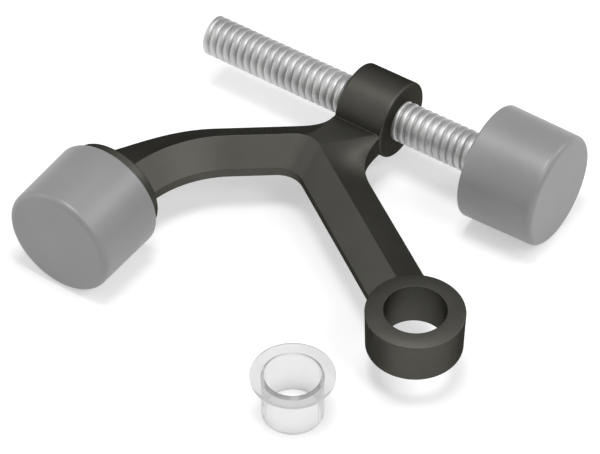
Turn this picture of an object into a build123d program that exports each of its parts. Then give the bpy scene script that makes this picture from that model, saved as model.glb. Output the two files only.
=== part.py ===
from build123d import *
import os
from math import cos, radians, sin, sqrt, tan

# A hinge pin door stop: a cast wishbone arm with a ring for the hinge pin, a boss for a
# threaded rod, a rubber bumper on the rod and on the arm, and a clear bush for thin pins.
# Frame: origin in the middle of the hinge pin bore, Z along the bore, X along the rod
# towards its bumper. The fixed bumper points along -Y.

# Hinge ring
PIN_BORE_RADIUS = 4.55
RING_RADIUS = 7.2
RING_HEIGHT = 7.1
RING_DRAFT = 0.18
RING_CROWN = 0.35
RING_BOTTOM_ROUND = 0.3
RING_RIM_ROUND = 0.2

# Threaded rod and its boss
ROD_RADIUS = 3.175
ROD_Y = 34.65
ROD_FREE_END_X = -59.0
ROD_CHAMFER = 0.2
BOSS_X = -28.6
BOSS_LENGTH = 8.3
BOSS_RADIUS = 6.1
BOSS_EDGE_ROUND = 0.35
RUNNING_CLEARANCE = 0.05
BORE_OVERRUN = 1.0

# Rubber bumpers, alike on the rod and on the arm
BUMPER_RADIUS = 8.95
BUMPER_LENGTH = 12.4
BUMPER_TAPER = 0.2
BUMPER_TIP_ROUND = 1.0
BUMPER_BACK_ROUND = 0.35
ROD_BUMPER_BACK_X = -9.2
FIXED_BUMPER_X = -51.85
FIXED_BUMPER_BACK_Y = -2.8

# Mushroom head that holds a bumper, on the rod and on the arm's spigot
STEM_DEPTH = 8.5
HEAD_RADIUS = 4.3
HEAD_THICKNESS = 1.6
HEAD_CLEARANCE = 0.1

# Disc behind the fixed bumper
DISC_RADIUS = 7.8
DISC_THICKNESS = 1.95
DISC_BACK_ROUND = 0.2

# Wishbone arm: a roof section with a ridge, two slopes and two low walls
RIDGE_Z = 2.4
EDGE_Z = -0.9
UNDERSIDE_Z = -2.35
INNER_SLOPE_WIDTH = 3.9
OUTER_SLOPE_WIDTH = 5.05
APEX_X = -32.7
APEX_Y = 22.8
BUMPER_ARM_ANGLE = 36.5
RING_ARM_ANGLE = 34.2
RIDGE_APEX_RADIUS = 4.0
INNER_APEX_RADIUS = 4.0
RIDGE_BEND_RADIUS = 20.0
INNER_BEND_RADIUS = 16.5
OUTER_BEND_RADIUS = 21.4
BEND_RIDGE_X = -51.05

# Where the arm's outer side spreads and rises into the disc
SPREAD_X = -58.4
SPREAD_Z = 3.5
SPREAD_FOOT_X = -57.0
SPREAD_FOOT_Y = 3.5
SPREAD_PULL = 9.5
SPREAD_SPLIT = 0.12

# Neck between the wishbone's apex and the boss
NECK_Z = 1.2
NECK_SIDE_INSET = 0.1
NECK_DEPTH = 1.2
NECK_FLARE_LENGTH = 7.5
NECK_FOOT_TURN = 35.0
NECK_FLARE_PULL = 0.45
FOOT_FLARE_PULL = 0.5

# Clear bush that narrows the bore for a thin hinge pin
BUSH_CLEARANCE = 0.05
BUSH_WALL = 0.45
BUSH_FLANGE_RADIUS = 6.1
BUSH_FLANGE_THICKNESS = 0.6
BUSH_FLANGE_ROUND = 0.2
BUSH_X = -9.9
BUSH_Y = -16.2

BOSS_LEFT_X = BOSS_X - BOSS_LENGTH / 2
BOSS_RIGHT_X = BOSS_X + BOSS_LENGTH / 2
DISC_MIDDLE_Y = FIXED_BUMPER_BACK_Y + DISC_THICKNESS / 2
GROUND_Z = -BUMPER_RADIUS


# The wishbone's three straight stretches, from the bumper disc to the ring, each with
# its heading and the direction that points out of the V.
HEADINGS = [
    Vector(0, 1),
    Vector(cos(radians(BUMPER_ARM_ANGLE)), sin(radians(BUMPER_ARM_ANGLE))),
    Vector(cos(radians(RING_ARM_ANGLE)), -sin(radians(RING_ARM_ANGLE))),
]
OUTWARD = [Vector(-heading.Y, heading.X) for heading in HEADINGS]
BEND_TURN = 90 - BUMPER_ARM_ANGLE
APEX_TURN = BUMPER_ARM_ANGLE + RING_ARM_ANGLE


def crossing(point, heading, other_point, other_heading):
    """The point where two lines of the plan meet."""
    gap = other_point - point
    along = gap.cross(other_heading).Z / heading.cross(other_heading).Z
    return point + heading * along


def rail_lines(offset):
    """Points on the three straight stretches, moved out of the V by offset."""
    apex = Vector(APEX_X, APEX_Y)
    start = Vector(BEND_RIDGE_X, DISC_MIDDLE_Y) + OUTWARD[0] * offset
    ring_line = apex + OUTWARD[2] * offset
    bend_corner = crossing(start, HEADINGS[0], apex + OUTWARD[1] * offset, HEADINGS[1])
    apex_corner = crossing(bend_corner, HEADINGS[1], ring_line, HEADINGS[2])
    ring_end = ring_line + HEADINGS[2] * (Vector(0, 0) - ring_line).dot(HEADINGS[2])
    return start, bend_corner, apex_corner, ring_end


def raised(edges, height):
    return [Pos(0, 0, height) * edge for edge in edges]


def rail_to_apex(offset, bend_radius, apex_reach):
    """Plan edges of a rail from the disc to apex_reach before its corner at the apex."""
    start, bend_corner, apex_corner, _ = rail_lines(offset)
    reach = bend_radius * tan(radians(BEND_TURN / 2))
    bend_start = bend_corner - HEADINGS[0] * reach
    bend_end = bend_corner + HEADINGS[1] * reach
    straight_end = apex_corner - HEADINGS[1] * apex_reach
    return [
        Line(start, bend_start),
        JernArc(bend_start, HEADINGS[0], bend_radius, -BEND_TURN),
        Line(bend_end, straight_end),
    ]


def inner_rail(offset, bend_radius, apex_radius):
    """Plan edges of the ridge or the inner edge, split where the outer rail is."""
    _, _, apex_corner, ring_end = rail_lines(offset)
    reach = apex_radius * tan(radians(APEX_TURN / 2))
    before = rail_to_apex(offset, bend_radius, reach)
    first = JernArc(before[-1] @ 1, HEADINGS[1], apex_radius, -NECK_FOOT_TURN)
    second = JernArc(first @ 1, first % 1, apex_radius, NECK_FOOT_TURN - APEX_TURN)
    neck_end = second @ 1 + HEADINGS[2] * NECK_FLARE_LENGTH
    after = [Line(second @ 1, neck_end), Line(neck_end, ring_end)]
    return before + [first, second] + after


def outer_rail(spread_z, edge_z, neck_z):
    """The outer edge at edge_z. It spreads and rises to spread_z at the disc, and rises to
    neck_z where the neck meets the boss."""
    reach = RIDGE_APEX_RADIUS * tan(radians(APEX_TURN / 2))
    _, _, ridge_corner, _ = rail_lines(0)
    _, _, outer_corner, ring_end = rail_lines(OUTER_SLOPE_WIDTH)
    ridge_start = ridge_corner - HEADINGS[1] * reach
    left_foot = ridge_start + OUTWARD[1] * OUTER_SLOPE_WIDTH + Vector(0, 0, edge_z)
    apex_reach = (outer_corner + Vector(0, 0, edge_z) - left_foot).length
    straight = raised(rail_to_apex(OUTER_SLOPE_WIDTH, OUTER_BEND_RADIUS, apex_reach), edge_z)[-1]

    bend_end = straight @ 0
    spread = Bezier(
        Vector(SPREAD_X, DISC_MIDDLE_Y, spread_z),
        Vector(SPREAD_FOOT_X, SPREAD_FOOT_Y, edge_z),
        bend_end - HEADINGS[1] * SPREAD_PULL,
        bend_end,
    )
    bend = [spread.trim(0, SPREAD_SPLIT), spread.trim(SPREAD_SPLIT, 1)]

    neck_y = ROD_Y - sqrt(BOSS_RADIUS**2 - NECK_Z**2) + NECK_DEPTH
    neck_left = Vector(BOSS_LEFT_X + NECK_SIDE_INSET, neck_y, neck_z)
    neck_right = Vector(BOSS_RIGHT_X - NECK_SIDE_INSET, neck_y, neck_z)
    left = flare(left_foot, HEADINGS[1], FOOT_FLARE_PULL, neck_left, Vector(0, 1), NECK_FLARE_PULL)

    ridge_neck_end = ridge_corner + HEADINGS[2] * (reach + NECK_FLARE_LENGTH)
    right_foot = ridge_neck_end + OUTWARD[2] * OUTER_SLOPE_WIDTH + Vector(0, 0, edge_z)
    right = flare(neck_right, Vector(0, -1), NECK_FLARE_PULL, right_foot, HEADINGS[2], FOOT_FLARE_PULL)
    end = ring_end + Vector(0, 0, edge_z)
    return bend + [straight, left, Line(neck_left, neck_right), right, Line(right_foot, end)]


def flare(start, heading, pull, end, end_heading, end_pull):
    """A smooth edge that leaves along heading and arrives along end_heading."""
    span = (end - start).length
    first = start + heading * (pull * span)
    second = end - end_heading * (end_pull * span)
    return Bezier(start, first, second, end)


def skin(rail, other_rail):
    """Ruled faces between two rails, stretch by stretch."""
    pairs = zip(rail, other_rail)
    return [Face.make_surface_from_curves(a.edge(), b.edge()) for a, b in pairs]


def wishbone():
    """The arm between the disc, the boss and the ring, skinned between its rails."""
    ridge = raised(inner_rail(0, RIDGE_BEND_RADIUS, RIDGE_APEX_RADIUS), RIDGE_Z)
    inner_plan = inner_rail(-INNER_SLOPE_WIDTH, INNER_BEND_RADIUS, INNER_APEX_RADIUS)
    inner_edge = raised(inner_plan, EDGE_Z)
    inner_foot = raised(inner_plan, UNDERSIDE_Z)
    outer_edge = outer_rail(SPREAD_Z, EDGE_Z, NECK_Z)
    outer_foot = outer_rail(UNDERSIDE_Z, UNDERSIDE_Z, UNDERSIDE_Z)

    loop = [inner_foot, inner_edge, ridge, outer_edge, outer_foot]
    faces = []
    for rail, next_rail in zip(loop, loop[1:]):
        faces += skin(rail, next_rail)
    disc_end = [rail[0] @ 0 for rail in loop]
    ring_end = [rail[-1] @ 1 for rail in loop]
    faces += [make_face(Polyline(*end, close=True)).face() for end in (disc_end, ring_end)]
    sides = [Line(disc_end[0], disc_end[-1]), Line(ring_end[0], ring_end[-1])]
    faces.append(make_face(inner_foot + outer_foot + sides).face())
    return Solid(Shell(faces))


def turned(outline):
    """A solid of revolution from edges drawn in the XZ plane, radius along X."""
    return revolve(make_face(outline), Axis.Z)


def along_x(solid, x):
    """Stands a turned solid on the rod's line, its +Z towards +X."""
    return Plane(origin=(x, ROD_Y, 0), z_dir=(1, 0, 0)) * solid


def along_minus_y(solid, y):
    """Stands a turned solid on the fixed bumper's line, its +Z towards -Y."""
    return Plane(origin=(FIXED_BUMPER_X, y, 0), z_dir=(0, -1, 0)) * solid


def closed_edges(solid):
    """The full circles of a turned solid, from the bottom up."""
    return solid.edges().filter_by(lambda edge: edge.is_closed).sort_by(Axis.Z)


def hinge_ring():
    """The ring round the hinge pin: drafted outside, with a crowned top."""
    top = RING_HEIGHT / 2
    rim = (RING_RADIUS, 0, top - RING_CROWN)
    foot = (RING_RADIUS - RING_DRAFT, 0, -top)
    bore_top = (PIN_BORE_RADIUS, 0, top)
    crown = TangentArc(bore_top, rim, tangent=(1, 0, 0))
    sides = Polyline(rim, foot, (0, 0, -top), (0, 0, top), bore_top)
    ring = turned(crown + sides)
    ring = fillet(closed_edges(ring)[0], RING_BOTTOM_ROUND)
    return fillet(closed_edges(ring)[-2], RING_RIM_ROUND)


def mushroom_stem(start_depth):
    """The stem and its head that hold a bumper, from start_depth behind its back."""
    head_start = STEM_DEPTH - HEAD_THICKNESS
    outline = Polyline(
        (0, 0, start_depth),
        (ROD_RADIUS, 0, start_depth),
        (ROD_RADIUS, 0, head_start),
        (HEAD_RADIUS, 0, head_start),
        (HEAD_RADIUS, 0, head_start + HEAD_THICKNESS / 2),
        (ROD_RADIUS, 0, STEM_DEPTH),
        (0, 0, STEM_DEPTH),
        close=True,
    )
    return turned(outline)


def bumper():
    """A rubber bumper with the hollow that takes the mushroom head."""
    tip_radius = BUMPER_RADIUS - BUMPER_TAPER
    body = turned(
        Polyline(
            (0, 0, 0),
            (BUMPER_RADIUS, 0, 0),
            (tip_radius, 0, BUMPER_LENGTH),
            (0, 0, BUMPER_LENGTH),
            close=True,
        )
    )
    rims = body.edges().filter_by(GeomType.CIRCLE).sort_by(Axis.Z)
    body = fillet(rims[-1], BUMPER_TIP_ROUND)
    rims = body.edges().filter_by(GeomType.CIRCLE).sort_by(Axis.Z)
    body = fillet(rims[0], BUMPER_BACK_ROUND)
    gap = HEAD_CLEARANCE
    head_start = STEM_DEPTH - HEAD_THICKNESS - gap
    hollow = Polyline(
        (0, 0, 0),
        (ROD_RADIUS + RUNNING_CLEARANCE, 0, 0),
        (ROD_RADIUS + RUNNING_CLEARANCE, 0, head_start),
        (HEAD_RADIUS + gap, 0, head_start),
        (HEAD_RADIUS + gap, 0, STEM_DEPTH - HEAD_THICKNESS / 2 + gap),
        (ROD_RADIUS + gap, 0, STEM_DEPTH + gap),
        (0, 0, STEM_DEPTH + gap),
        close=True,
    )
    return body - turned(hollow)


def stop_arm():
    """The casting: wishbone, ring, boss, and the disc and spigot for a bumper."""
    boss = along_x(Cylinder(BOSS_RADIUS, BOSS_LENGTH), BOSS_X)
    boss = fillet(boss.edges().filter_by(GeomType.CIRCLE), BOSS_EDGE_ROUND)
    disc = Cylinder(DISC_RADIUS, DISC_THICKNESS, align=(Align.CENTER, Align.CENTER, Align.MAX))
    disc = fillet(disc.edges().filter_by(GeomType.CIRCLE).sort_by(Axis.Z)[0], DISC_BACK_ROUND)
    disc = along_minus_y(disc, FIXED_BUMPER_BACK_Y)
    casting = wishbone() + disc
    casting += boss
    casting += hinge_ring()
    casting += along_minus_y(mushroom_stem(-DISC_THICKNESS / 2), FIXED_BUMPER_BACK_Y)
    casting -= along_x(Cylinder(ROD_RADIUS + RUNNING_CLEARANCE, BOSS_LENGTH + BORE_OVERRUN), BOSS_X)
    casting -= Cylinder(PIN_BORE_RADIUS, RING_HEIGHT + BORE_OVERRUN)
    return casting


def adjusting_rod():
    """The rod, threaded along its length, with a head inside its bumper."""
    shank_depth = ROD_FREE_END_X - ROD_BUMPER_BACK_X
    rod = mushroom_stem(shank_depth)
    free_end = rod.edges().filter_by(GeomType.CIRCLE).sort_by(Axis.Z)[0]
    rod = chamfer(free_end, ROD_CHAMFER)
    return along_x(rod, ROD_BUMPER_BACK_X)


def hinge_pin_bush():
    """The clear bush, standing on its sleeve beside the ring."""
    sleeve = PIN_BORE_RADIUS - BUSH_CLEARANCE
    top = RING_HEIGHT + BUSH_FLANGE_THICKNESS
    outline = Polyline(
        (sleeve - BUSH_WALL, 0, 0),
        (sleeve, 0, 0),
        (sleeve, 0, RING_HEIGHT),
        (BUSH_FLANGE_RADIUS, 0, RING_HEIGHT),
        (BUSH_FLANGE_RADIUS, 0, top),
        (sleeve - BUSH_WALL, 0, top),
        close=True,
    )
    bush = turned(outline)
    rims = bush.edges().filter_by(GeomType.CIRCLE)
    widest = rims.group_by(SortBy.RADIUS)[-1]
    bush = fillet(widest, BUSH_FLANGE_ROUND)
    return Pos(BUSH_X, BUSH_Y, GROUND_Z) * bush


os.makedirs("parts", exist_ok=True)
pieces = {
    "stop_arm": stop_arm(),
    "adjusting_rod": adjusting_rod(),
    "rod_bumper": along_x(bumper(), ROD_BUMPER_BACK_X),
    "fixed_bumper": along_minus_y(bumper(), FIXED_BUMPER_BACK_Y),
    "hinge_pin_bush": hinge_pin_bush(),
}
for name, piece in pieces.items():
    export_step(piece, f"parts/{name}.step")
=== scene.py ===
import bmesh
import bpy
from math import ceil, cos, pi, radians, sin
from mathutils import Matrix, Vector


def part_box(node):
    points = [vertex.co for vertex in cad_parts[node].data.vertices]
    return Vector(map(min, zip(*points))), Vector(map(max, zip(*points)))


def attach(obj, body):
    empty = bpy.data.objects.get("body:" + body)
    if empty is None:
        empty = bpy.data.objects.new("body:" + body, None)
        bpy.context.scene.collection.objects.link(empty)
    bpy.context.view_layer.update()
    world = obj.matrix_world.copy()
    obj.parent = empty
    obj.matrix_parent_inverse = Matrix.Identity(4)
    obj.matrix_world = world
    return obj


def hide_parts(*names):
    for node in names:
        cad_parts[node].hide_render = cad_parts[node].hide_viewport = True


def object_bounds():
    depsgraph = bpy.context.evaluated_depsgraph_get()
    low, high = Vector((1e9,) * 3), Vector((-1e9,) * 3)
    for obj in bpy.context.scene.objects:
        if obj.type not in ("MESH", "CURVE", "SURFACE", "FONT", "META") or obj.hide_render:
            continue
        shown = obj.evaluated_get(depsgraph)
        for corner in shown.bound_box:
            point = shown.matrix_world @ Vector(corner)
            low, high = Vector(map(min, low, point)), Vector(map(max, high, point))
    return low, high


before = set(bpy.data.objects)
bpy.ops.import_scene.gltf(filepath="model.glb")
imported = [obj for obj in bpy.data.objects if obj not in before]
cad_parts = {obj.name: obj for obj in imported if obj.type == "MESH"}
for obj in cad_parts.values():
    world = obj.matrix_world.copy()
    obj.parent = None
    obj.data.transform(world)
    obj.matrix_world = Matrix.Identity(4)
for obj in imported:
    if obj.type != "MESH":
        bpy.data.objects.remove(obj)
cad_low, cad_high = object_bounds()
MM = 0.001


# Studio
# A white table in a pale room, under four soft lamps as in a catalogue picture. The table's
# glow shows to the camera, in reflections and through clear plastic, and adds no other light.
WHITE = (1.0, 1.0, 1.0, 1.0)
ROOM_LIGHT = 0.40
# Each lamp's name, its place from the object's middle, its width and its watts.
LAMPS = (
    ("overhead_softbox", (0.0, -0.02, 0.42), 0.13, 0.77),
    ("right_softbox", (0.28, -0.05, 0.31), 0.14, 0.36),
    ("rear_softbox", (0.22, 0.265, 0.26), 0.11, 0.31),
    ("left_softbox", (-0.36, -0.20, 0.18), 0.30, 0.40),
)
TABLE_SIZE = 1.6
TABLE_CLEARANCE = 0.02 * MM
TABLE_COLOUR = (0.70, 0.70, 0.70, 1.0)
TABLE_ROUGHNESS = 0.9
TABLE_GLOW = 0.43


def new_object(name, data):
    """An object that is part of the scene."""
    thing = bpy.data.objects.new(name, data)
    bpy.context.scene.collection.objects.link(thing)
    return thing


def new_material(name):
    """A material, with its nodes, its links and its shader."""
    material = bpy.data.materials.new(name)
    material.use_nodes = True
    nodes = material.node_tree.nodes
    return material, nodes, material.node_tree.links, nodes["Principled BSDF"]


world = bpy.data.worlds.new("studio_room")
world.use_nodes = True
room = world.node_tree.nodes["Background"]
room.inputs["Color"].default_value = WHITE
room.inputs["Strength"].default_value = ROOM_LIGHT
bpy.context.scene.world = world

middle = (cad_low + cad_high) / 2
for name, offset, width, watts in LAMPS:
    light = bpy.data.lights.new(name, "AREA")
    light.shape = "SQUARE"
    light.size = width
    light.energy = watts
    lamp = new_object(name, light)
    lamp.location = middle + Vector(offset)
    lamp.rotation_euler = (middle - lamp.location).to_track_quat("-Z", "Y").to_euler()

half = TABLE_SIZE / 2
table_z = cad_low.z - TABLE_CLEARANCE
corners = [(x * half, y * half, table_z) for x, y in ((-1, -1), (1, -1), (1, 1), (-1, 1))]
table_mesh = bpy.data.meshes.new("table")
table_mesh.from_pydata(corners, [], [(0, 1, 2, 3)])
table = new_object("table", table_mesh)
table_paint, nodes, links, shader = new_material("white_table")
shader.inputs["Base Color"].default_value = TABLE_COLOUR
shader.inputs["Roughness"].default_value = TABLE_ROUGHNESS
shader.inputs["Emission Color"].default_value = WHITE
rays = nodes.new("ShaderNodeLightPath").outputs
seen = rays["Is Camera Ray"]
for ray in ("Is Glossy Ray", "Is Transmission Ray"):
    either = nodes.new("ShaderNodeMath")
    either.operation = "MAXIMUM"
    links.new(seen, either.inputs[0])
    links.new(rays[ray], either.inputs[1])
    seen = either.outputs["Value"]
glow = nodes.new("ShaderNodeMath")
glow.operation = "MULTIPLY"
glow.inputs[1].default_value = TABLE_GLOW
links.new(seen, glow.inputs[0])
links.new(glow.outputs["Value"], shader.inputs["Emission Strength"])
table_mesh.materials.append(table_paint)


# Camera
# It looks down at the arm from the front right, as the photograph does: a long lens nearly
# half a metre away, so that the two bumpers keep nearly the same size.
CAMERA_AZIMUTH = radians(33.994)
CAMERA_ELEVATION = radians(45.325)
CAMERA_DISTANCE = 452.319 * MM
CAMERA_LEFT_SHIFT = 16.237 * MM
CAMERA_RISE = 14.110 * MM
CAMERA_LENS = 192.0
CAMERA_SENSOR = 36.0
CAMERA_CLIP_START = 10 * MM

right = Vector((cos(CAMERA_AZIMUTH), sin(CAMERA_AZIMUTH), 0.0))
back = Vector((sin(CAMERA_AZIMUTH), -cos(CAMERA_AZIMUTH), 0.0)) * cos(CAMERA_ELEVATION)
back.z = sin(CAMERA_ELEVATION)
up = back.cross(right)
camera_data = bpy.data.cameras.new("photo_camera")
camera_data.lens = CAMERA_LENS
camera_data.sensor_width = CAMERA_SENSOR
camera_data.clip_start = CAMERA_CLIP_START
camera = new_object("photo_camera", camera_data)
camera_place = back * CAMERA_DISTANCE - right * CAMERA_LEFT_SHIFT + up * CAMERA_RISE
camera_turn = Matrix((right, up, back)).transposed().to_4x4()
camera.matrix_world = Matrix.Translation(camera_place) @ camera_turn
bpy.context.scene.camera = camera
bpy.context.scene.view_settings.view_transform = "Standard"


# Stop arm
# One zinc casting, tumbled and given a dark bronze finish. The finish is satin, a little
# uneven, and its edges are softly rounded from the tumbling.
CASTING_EDGE_ROUND = 0.14 * MM
EDGE_SAMPLES = 8
BRONZE_DARK = (0.087, 0.085, 0.075, 1.0)
BRONZE_LIGHT = (0.100, 0.098, 0.087, 1.0)
BRONZE_RIM_TINT = (0.12, 0.12, 0.12, 1.0)
BRONZE_MOTTLE = {"scale": 160.0, "detail": 4.0}
BRONZE_ROUGHNESS = {"low": 0.48, "high": 0.54}
BRONZE_GRAIN = {"scale": 2600.0, "strength": 0.25, "depth": 0.02 * MM}
MOTTLE_STOPS = (0.3, 0.7)
GRAIN_DETAIL = 3.0


def mottled(nodes, links, dark, light, scale, detail):
    """A colour that wanders between dark and light over the piece."""
    place = nodes.new("ShaderNodeTexCoord")
    noise = nodes.new("ShaderNodeTexNoise")
    noise.inputs["Scale"].default_value = scale
    noise.inputs["Detail"].default_value = detail
    ramp = nodes.new("ShaderNodeValToRGB")
    for stop, position, colour in zip(ramp.color_ramp.elements, MOTTLE_STOPS, (dark, light)):
        stop.position = position
        stop.color = colour
    links.new(place.outputs["Object"], noise.inputs["Vector"])
    links.new(noise.outputs["Fac"], ramp.inputs["Fac"])
    return place, noise, ramp


def roughened(nodes, links, noise, shader, low, high):
    """A roughness that wanders with the colour's own noise."""
    rough = nodes.new("ShaderNodeMapRange")
    rough.inputs["To Min"].default_value = low
    rough.inputs["To Max"].default_value = high
    links.new(noise.outputs["Fac"], rough.inputs["Value"])
    links.new(rough.outputs["Result"], shader.inputs["Roughness"])


def grained(nodes, links, place, shader, scale, strength, depth, round_radius=0.0):
    """A fine surface grain, over edges that are softened where round_radius is given."""
    grain = nodes.new("ShaderNodeTexNoise")
    grain.inputs["Scale"].default_value = scale
    grain.inputs["Detail"].default_value = GRAIN_DETAIL
    bump = nodes.new("ShaderNodeBump")
    bump.inputs["Strength"].default_value = strength
    bump.inputs["Distance"].default_value = depth
    links.new(place.outputs["Object"], grain.inputs["Vector"])
    links.new(grain.outputs["Fac"], bump.inputs["Height"])
    if round_radius:
        soft_edge = nodes.new("ShaderNodeBevel")
        soft_edge.samples = EDGE_SAMPLES
        soft_edge.inputs["Radius"].default_value = round_radius
        links.new(soft_edge.outputs["Normal"], bump.inputs["Normal"])
    links.new(bump.outputs["Normal"], shader.inputs["Normal"])


def dress(name, finish):
    """Gives a CAD piece its finish."""
    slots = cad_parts[name].data.materials
    slots.clear()
    slots.append(finish)


bronze, nodes, links, shader = new_material("bronze_finish")
place, noise, ramp = mottled(nodes, links, BRONZE_DARK, BRONZE_LIGHT, **BRONZE_MOTTLE)
links.new(ramp.outputs["Color"], shader.inputs["Base Color"])
shader.inputs["Metallic"].default_value = 1.0
shader.inputs["Specular Tint"].default_value = BRONZE_RIM_TINT
roughened(nodes, links, noise, shader, **BRONZE_ROUGHNESS)
grained(nodes, links, place, shader, **BRONZE_GRAIN, round_radius=CASTING_EDGE_ROUND)
dress("stop_arm", bronze)


# Adjusting rod
# A quarter inch zinc plated steel rod with a rolled thread from its free end to its head.
# The head is a mushroom upset on the rod's other end, and the rubber bumper goes over it.
ROD_RADIUS = 3.175 * MM
HEAD_HEIGHT = 1.6 * MM
THREAD_PITCH = 1.27 * MM
GROOVE_DEPTH = 0.50 * MM
GROOVE_POWER = 4.5
GROOVE_START_TURN = 0.12
STEPS_PER_PITCH = 16
STEPS_PER_TURN = 72
WELD_DISTANCE = 0.002 * MM
RIM_REACH = THREAD_PITCH / 4
ZINC_DARK = (0.52, 0.52, 0.52, 1.0)
ZINC_LIGHT = (0.65, 0.65, 0.645, 1.0)
ZINC_MOTTLE = {"scale": 240.0, "detail": 3.0}
ZINC_ROUGHNESS = {"low": 0.48, "high": 0.56}
ZINC_GRAIN = {"scale": 1800.0, "strength": 0.15, "depth": 0.01 * MM}

rod_low, rod_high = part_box("adjusting_rod")
rod_y = (rod_low.y + rod_high.y) / 2
head_radius = (rod_high.y - rod_low.y) / 2
thread_start = rod_low.x
thread_end = rod_high.x - HEAD_HEIGHT
thread_length = thread_end - thread_start


def thread_tree():
    """A grid rolled into a tube. Its rows follow the thread, and are cut off at both ends."""
    tree = bpy.data.node_groups.new("rolled_thread", "GeometryNodeTree")
    sizes = ("Start", "Length", "Radius", "Pitch", "Groove Depth", "Groove Power", "Groove Start")
    for size in sizes:
        tree.interface.new_socket(size, in_out="INPUT", socket_type="NodeSocketFloat")
    for count in ("Rows", "Steps per Pitch", "Columns"):
        tree.interface.new_socket(count, in_out="INPUT", socket_type="NodeSocketInt")
    tree.interface.new_socket("Finish", in_out="INPUT", socket_type="NodeSocketMaterial")
    tree.interface.new_socket("Mesh", in_out="OUTPUT", socket_type="NodeSocketGeometry")
    source = tree.nodes.new("NodeGroupInput").outputs
    link = tree.links.new

    def calc(operation, *values):
        """One step of arithmetic, on sockets and numbers."""
        node = tree.nodes.new("ShaderNodeMath")
        node.operation = operation
        for slot, value in zip(node.inputs, values):
            if isinstance(value, float):
                slot.default_value = value
            else:
                link(value, slot)
        return node.outputs[0]

    # The grid is one by one about its middle. X counts the rows, and Y goes once round.
    grid = tree.nodes.new("GeometryNodeMeshGrid")
    link(source["Rows"], grid.inputs["Vertices X"])
    link(source["Columns"], grid.inputs["Vertices Y"])
    grid.inputs["Size X"].default_value = 1.0
    grid.inputs["Size Y"].default_value = 1.0
    spot = tree.nodes.new("GeometryNodeInputPosition")
    parts = tree.nodes.new("ShaderNodeSeparateXYZ")
    link(spot.outputs["Position"], parts.inputs["Vector"])
    turn = calc("ADD", parts.outputs["Y"], 0.5)
    across = calc("ADD", parts.outputs["X"], 0.5)
    row = calc("MULTIPLY", across, calc("SUBTRACT", source["Rows"], 1.0))
    advance = calc("SUBTRACT", turn, calc("ADD", source["Groove Start"], 1.0))
    pitches = calc("ADD", calc("DIVIDE", row, source["Steps per Pitch"]), advance)
    along = calc("MAXIMUM", calc("MULTIPLY", pitches, source["Pitch"]), 0.0)
    along = calc("MINIMUM", along, source["Length"])

    # The groove is deepest at half a pitch, and its power keeps it narrow.
    phase = calc("FRACT", calc("SUBTRACT", calc("DIVIDE", along, source["Pitch"]), advance))
    off_groove = calc("MULTIPLY", calc("ABSOLUTE", calc("SUBTRACT", phase, 0.5)), 2.0)
    cut = calc("POWER", calc("SUBTRACT", 1.0, off_groove), source["Groove Power"])
    radius = calc("SUBTRACT", source["Radius"], calc("MULTIPLY", cut, source["Groove Depth"]))
    angle = calc("MULTIPLY", turn, 2 * pi)
    joined = tree.nodes.new("ShaderNodeCombineXYZ")
    link(calc("ADD", along, source["Start"]), joined.inputs["X"])
    link(calc("MULTIPLY", radius, calc("COSINE", angle)), joined.inputs["Y"])
    link(calc("MULTIPLY", radius, calc("SINE", angle)), joined.inputs["Z"])
    roll = tree.nodes.new("GeometryNodeSetPosition")
    link(grid.outputs["Mesh"], roll.inputs["Geometry"])
    link(joined.outputs["Vector"], roll.inputs["Position"])
    weld = tree.nodes.new("GeometryNodeMergeByDistance")
    weld.inputs["Distance"].default_value = WELD_DISTANCE
    link(roll.outputs["Geometry"], weld.inputs["Geometry"])
    realize = tree.nodes.new("GeometryNodeRealizeInstances")
    link(weld.outputs["Geometry"], realize.inputs["Geometry"])
    finish = tree.nodes.new("GeometryNodeSetMaterial")
    link(realize.outputs["Geometry"], finish.inputs["Geometry"])
    link(source["Finish"], finish.inputs["Material"])
    sink = tree.nodes.new("NodeGroupOutput")
    link(finish.outputs["Geometry"], sink.inputs["Mesh"])
    return tree


zinc, nodes, links, shader = new_material("zinc_plate")
place, noise, ramp = mottled(nodes, links, ZINC_DARK, ZINC_LIGHT, **ZINC_MOTTLE)
links.new(ramp.outputs["Color"], shader.inputs["Base Color"])
shader.inputs["Metallic"].default_value = 1.0
roughened(nodes, links, noise, shader, **ZINC_ROUGHNESS)
grained(nodes, links, place, shader, **ZINC_GRAIN)

blank = new_object("thread_blank", bpy.data.meshes.new("thread_blank"))
thread = blank.modifiers.new("thread", "NODES")
thread.node_group = thread_tree()
thread_sizes = {
    "Start": thread_start,
    "Length": thread_length,
    "Radius": ROD_RADIUS,
    "Pitch": THREAD_PITCH,
    "Groove Depth": GROOVE_DEPTH,
    "Groove Power": GROOVE_POWER,
    "Groove Start": GROOVE_START_TURN,
    "Rows": ceil((thread_length / THREAD_PITCH + 1 + GROOVE_START_TURN) * STEPS_PER_PITCH) + 1,
    "Steps per Pitch": STEPS_PER_PITCH,
    "Columns": STEPS_PER_TURN + 1,
    "Finish": zinc,
}
for item in thread.node_group.interface.items_tree:
    if item.in_out == "INPUT":
        thread[item.identifier] = thread_sizes[item.name]
bpy.context.view_layer.update()
evaluated = blank.evaluated_get(bpy.context.evaluated_depsgraph_get())
rod_mesh = bpy.data.meshes.new_from_object(evaluated)
blank.modifiers.clear()
bpy.data.objects.remove(blank)


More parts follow.
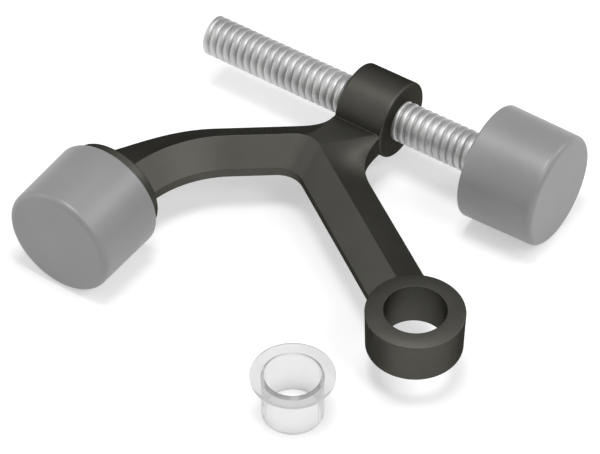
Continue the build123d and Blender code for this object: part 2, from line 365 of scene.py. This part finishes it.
def close_rod(mesh):
    """Closes the free end and adds the mushroom head, then moves the rod to its axis."""
    shape = bmesh.new()
    shape.from_mesh(mesh)
    rims = [edge for edge in shape.edges if edge.is_boundary]
    free_rim = [edge for edge in rims if edge.verts[0].co.x < thread_start + RIM_REACH]
    ring = [edge for edge in rims if edge.verts[0].co.x > thread_end - RIM_REACH]
    bmesh.ops.contextual_create(shape, geom=free_rim)
    head_steps = [(head_radius, 0.0), (head_radius, HEAD_HEIGHT / 2), (ROD_RADIUS, HEAD_HEIGHT)]
    for radius, step in head_steps:
        new = bmesh.ops.extrude_edge_only(shape, edges=ring)["geom"]
        verts = [item for item in new if isinstance(item, bmesh.types.BMVert)]
        ring = [item for item in new if isinstance(item, bmesh.types.BMEdge)]
        for vert in verts:
            spoke = Vector((0.0, vert.co.y, vert.co.z)).normalized() * radius
            vert.co = Vector((thread_end + step, spoke.y, spoke.z))
    bmesh.ops.contextual_create(shape, geom=ring)
    bmesh.ops.recalc_face_normals(shape, faces=shape.faces)
    bmesh.ops.translate(shape, verts=shape.verts, vec=(0.0, rod_y, 0.0))
    for face in shape.faces:
        face.smooth = len(face.verts) == 4
    shape.to_mesh(mesh)
    shape.free()


close_rod(rod_mesh)
rod = new_object("threaded_rod", rod_mesh)
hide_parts("adjusting_rod")
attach(rod, "rod")


# Rubber bumpers
# Two alike, moulded in grey rubber with a satin skin. Each is pushed over a mushroom head,
# so nothing of its fixing shows.
RUBBER_DARK = (0.225, 0.225, 0.225, 1.0)
RUBBER_LIGHT = (0.258, 0.258, 0.258, 1.0)
RUBBER_MOTTLE = {"scale": 90.0, "detail": 5.0}
RUBBER_ROUGHNESS = 0.43
RUBBER_SHINE = 1.0
RUBBER_GRAIN = {"scale": 3200.0, "strength": 0.3, "depth": 0.015 * MM}

rubber, nodes, links, shader = new_material("grey_rubber")
place, _, ramp = mottled(nodes, links, RUBBER_DARK, RUBBER_LIGHT, **RUBBER_MOTTLE)
links.new(ramp.outputs["Color"], shader.inputs["Base Color"])
shader.inputs["Roughness"].default_value = RUBBER_ROUGHNESS
shader.inputs["Specular IOR Level"].default_value = RUBBER_SHINE
grained(nodes, links, place, shader, **RUBBER_GRAIN)
for name in ("rod_bumper", "fixed_bumper"):
    dress(name, rubber)


# Hinge pin bush
# A thin flanged sleeve, moulded in clear plastic. It goes into the ring for a thin hinge
# pin, and stands on the table beside the arm. The flange end is painted a darker grey: painted
# shade, standing in for the dark that clear plastic picks up from its surroundings.
CLEAR_DEEP = (0.88, 0.88, 0.88, 1.0)
CLEAR_TINT = (0.93, 0.93, 0.93, 1.0)
CLEAR_MOTTLE = {"scale": 150.0, "detail": 2.0}
CLEAR_ROUGHNESS = 0.1
CLEAR_IOR = 1.2
CLEAR_TRANSMISSION = 0.82
CLEAR_GRAIN = {"scale": 900.0, "strength": 0.05, "depth": 0.01 * MM}
FLANGE_PAINTED_SHADE = (0.70, 0.70, 0.70, 1.0)
FLANGE_SHADE_DEPTH = 0.7 * MM

clear, nodes, links, shader = new_material("clear_plastic")
place, _, ramp = mottled(nodes, links, CLEAR_DEEP, CLEAR_TINT, **CLEAR_MOTTLE)
flange_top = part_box("hinge_pin_bush")[1].z
# Painted shade: over the top of the bush, its flange, the colour is mixed towards a flat darker
# grey.
height = nodes.new("ShaderNodeSeparateXYZ")
links.new(place.outputs["Object"], height.inputs["Vector"])
flange_shade_mask = nodes.new("ShaderNodeMapRange")
flange_shade_mask.inputs["From Min"].default_value = flange_top - FLANGE_SHADE_DEPTH
flange_shade_mask.inputs["From Max"].default_value = flange_top
links.new(height.outputs["Z"], flange_shade_mask.inputs["Value"])
flange_shade_mix = nodes.new("ShaderNodeMixRGB")
flange_shade_mix.inputs["Color2"].default_value = FLANGE_PAINTED_SHADE
links.new(flange_shade_mask.outputs["Result"], flange_shade_mix.inputs["Fac"])
links.new(ramp.outputs["Color"], flange_shade_mix.inputs["Color1"])
links.new(flange_shade_mix.outputs["Color"], shader.inputs["Base Color"])
shader.inputs["Roughness"].default_value = CLEAR_ROUGHNESS
shader.inputs["IOR"].default_value = CLEAR_IOR
shader.inputs["Transmission Weight"].default_value = CLEAR_TRANSMISSION
grained(nodes, links, place, shader, **CLEAR_GRAIN)
dress("hinge_pin_bush", clear)
